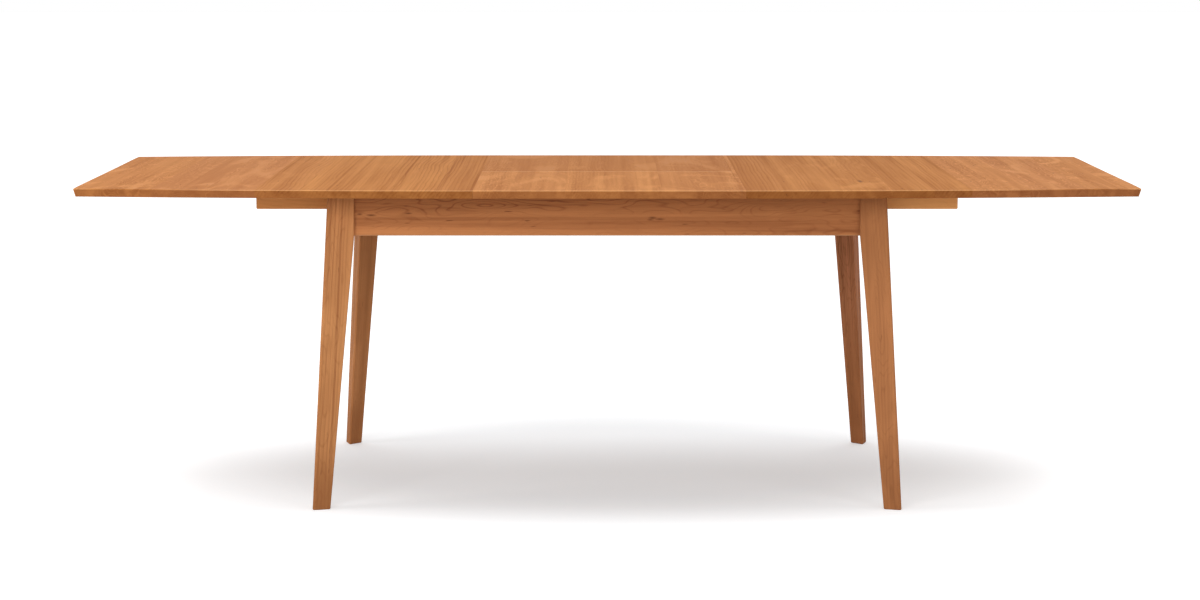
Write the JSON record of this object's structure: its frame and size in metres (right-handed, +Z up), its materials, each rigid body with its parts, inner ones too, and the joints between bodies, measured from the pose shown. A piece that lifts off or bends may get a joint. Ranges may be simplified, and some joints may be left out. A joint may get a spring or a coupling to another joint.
{
  "type": "butterfly leaf dining table",
  "caption": "Boat-shaped wooden extension dining table on a splayed four-leg base; its ends slide on runners and a folding leaf swings up on arms between them.",
  "frame": {"origin": "on the floor under the middle of the table", "axes": "+X along the length of the top, +Y to the rear, +Z up"},
  "size_m": [2.4372, 1.015, 0.749],
  "materials": {
    "cherry_top": "satin oil, glued boards across the table",
    "cherry_leaf": "satin oil",
    "cherry_legs": "satin oil",
    "cherry_aprons": "satin oil",
    "cherry_runners": "satin oil",
    "rail_wood": "sanded, clear sealed",
    "zinc_steel": "bright zinc",
    "black_steel": "satin black powder coat",
    "bright_pins": "turned",
    "hinge_brass": "satin",
    "felt": "pressed felt",
    "rubber_black": "matt"
  },
  "bodies": {
    "base": {"leg_front_left": "cherry_legs", "leg_front_right": "cherry_legs", "leg_rear_left": "cherry_legs", "leg_rear_right": "cherry_legs", "apron_end_left": "cherry_aprons", "apron_end_right": "cherry_aprons", "apron_front": "cherry_aprons", "apron_rear": "cherry_aprons", "slide_rail_front": "rail_wood", "slide_rail_rear": "rail_wood", "leaf_bearer_left": "rail_wood", "leaf_bearer_right": "rail_wood", "corner_brace_front_left": "rail_wood", "corner_brace_front_right": "rail_wood", "corner_brace_rear_left": "rail_wood", "corner_brace_rear_right": "rail_wood", "slide_fixed_left": "zinc_steel", "slide_fixed_right": "zinc_steel", "leg_bolts": "zinc_steel", "leg_washers": "zinc_steel", "leg_nuts": "zinc_steel", "pivot_brackets": "black_steel", "pivot_pins": "bright_pins", "leaf_pads": "felt", "stored_leaf_bumpers": "rubber_black"},
    "top_left": {"top_half_left": "cherry_top", "runner_front_left": "cherry_runners", "runner_rear_left": "cherry_runners", "slide_moving_left": "zinc_steel", "runner_screws_left": "zinc_steel"},
    "top_right": {"top_half_right": "cherry_top", "runner_front_right": "cherry_runners", "runner_rear_right": "cherry_runners", "slide_moving_right": "zinc_steel", "runner_screws_right": "zinc_steel"},
    "middle_slides_left": {"slide_middle_left": "zinc_steel"},
    "middle_slides_right": {"slide_middle_right": "zinc_steel"},
    "front_swing": {"swing_tube_front": "black_steel", "swing_arms_front": "black_steel"},
    "rear_swing": {"swing_tube_rear": "black_steel", "swing_arms_rear": "black_steel"},
    "leaf_rear_half": {"leaf_rear": "cherry_leaf", "leaf_hinge_cups_rear": "hinge_brass", "leaf_brackets": "black_steel", "leaf_pins": "bright_pins"},
    "leaf_front_half": {"leaf_front": "cherry_leaf", "leaf_hinge_cups_front": "hinge_brass", "leaf_hinge_links": "hinge_brass"}
  },
  "joints": [
    {"name": "leaf_swing", "type": "hinge", "parent": "base", "child": "front_swing", "pos_m": [0, -0.03948, 0.6509], "axis": [1, 0, 0], "range_deg": [0, 137]},
    {"name": "rear_arm_swing", "type": "hinge", "parent": "base", "child": "rear_swing", "pos_m": [0, 0.19851, 0.6509], "axis": [1, 0, 0], "range_deg": [0, 137]},
    {"name": "leaf_carry", "type": "hinge", "parent": "front_swing", "child": "leaf_rear_half", "pos_m": [0, 0.06, 0.718], "axis": [1, 0, 0], "range_deg": [-137, 0]},
    {"name": "leaf_fold", "type": "hinge", "parent": "leaf_rear_half", "child": "leaf_front_half", "pos_m": [0, 0, 0.7493], "axis": [-1, 0, 0], "range_deg": [0, 180]},
    {"name": "half_slide_left", "type": "slide", "parent": "base", "child": "top_left", "axis": [-1, 0, 0], "range_m": [0, 0.025]},
    {"name": "half_slide_right", "type": "slide", "parent": "base", "child": "top_right", "axis": [1, 0, 0], "range_m": [0, 0.025]},
    {"name": "middle_slide_left", "type": "slide", "parent": "base", "child": "middle_slides_left", "axis": [-1, 0, 0], "range_m": [0, 0.0125]},
    {"name": "middle_slide_right", "type": "slide", "parent": "base", "child": "middle_slides_right", "axis": [1, 0, 0], "range_m": [0, 0.0125]}
  ],
  "couplings": [
    {"joint": "rear_arm_swing", "follows": "leaf_swing", "ratio": 1},
    {"joint": "leaf_carry", "follows": "leaf_swing", "ratio": -1},
    {"joint": "leaf_fold", "follows": "leaf_swing", "ratio": 1.3139},
    {"joint": "middle_slide_left", "follows": "half_slide_left", "ratio": 0.5},
    {"joint": "middle_slide_right", "follows": "half_slide_right", "ratio": 0.5}
  ]
}
